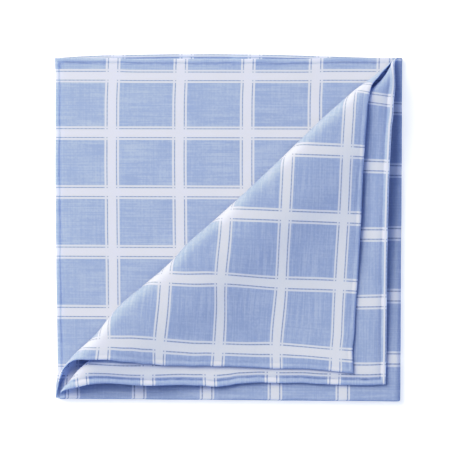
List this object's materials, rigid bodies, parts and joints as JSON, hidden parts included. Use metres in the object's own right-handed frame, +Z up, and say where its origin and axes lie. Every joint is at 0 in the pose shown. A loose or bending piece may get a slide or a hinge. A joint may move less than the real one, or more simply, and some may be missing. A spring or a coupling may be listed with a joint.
{
  "type": "pocket square",
  "caption": "Square cotton cloth folded in quarters, with the corner of its upper plies turned back over the diagonal in a soft roll",
  "frame": {"origin": "centre of the bounding box of the folded square, on the surface it lies on", "axes": "+Z up, out of the surface; +X to the right and +Y away, as the folded square is seen from above with its hems at the left and the top"},
  "size_m": [0.1672, 0.1674, 0.0181],
  "materials": {
    "cotton": "light blue plain-weave cotton with a white windowpane check, matt, with a hand-rolled hem"
  },
  "bodies": {
    "root": {"cloth": "cotton"}
  },
  "joints": []
}
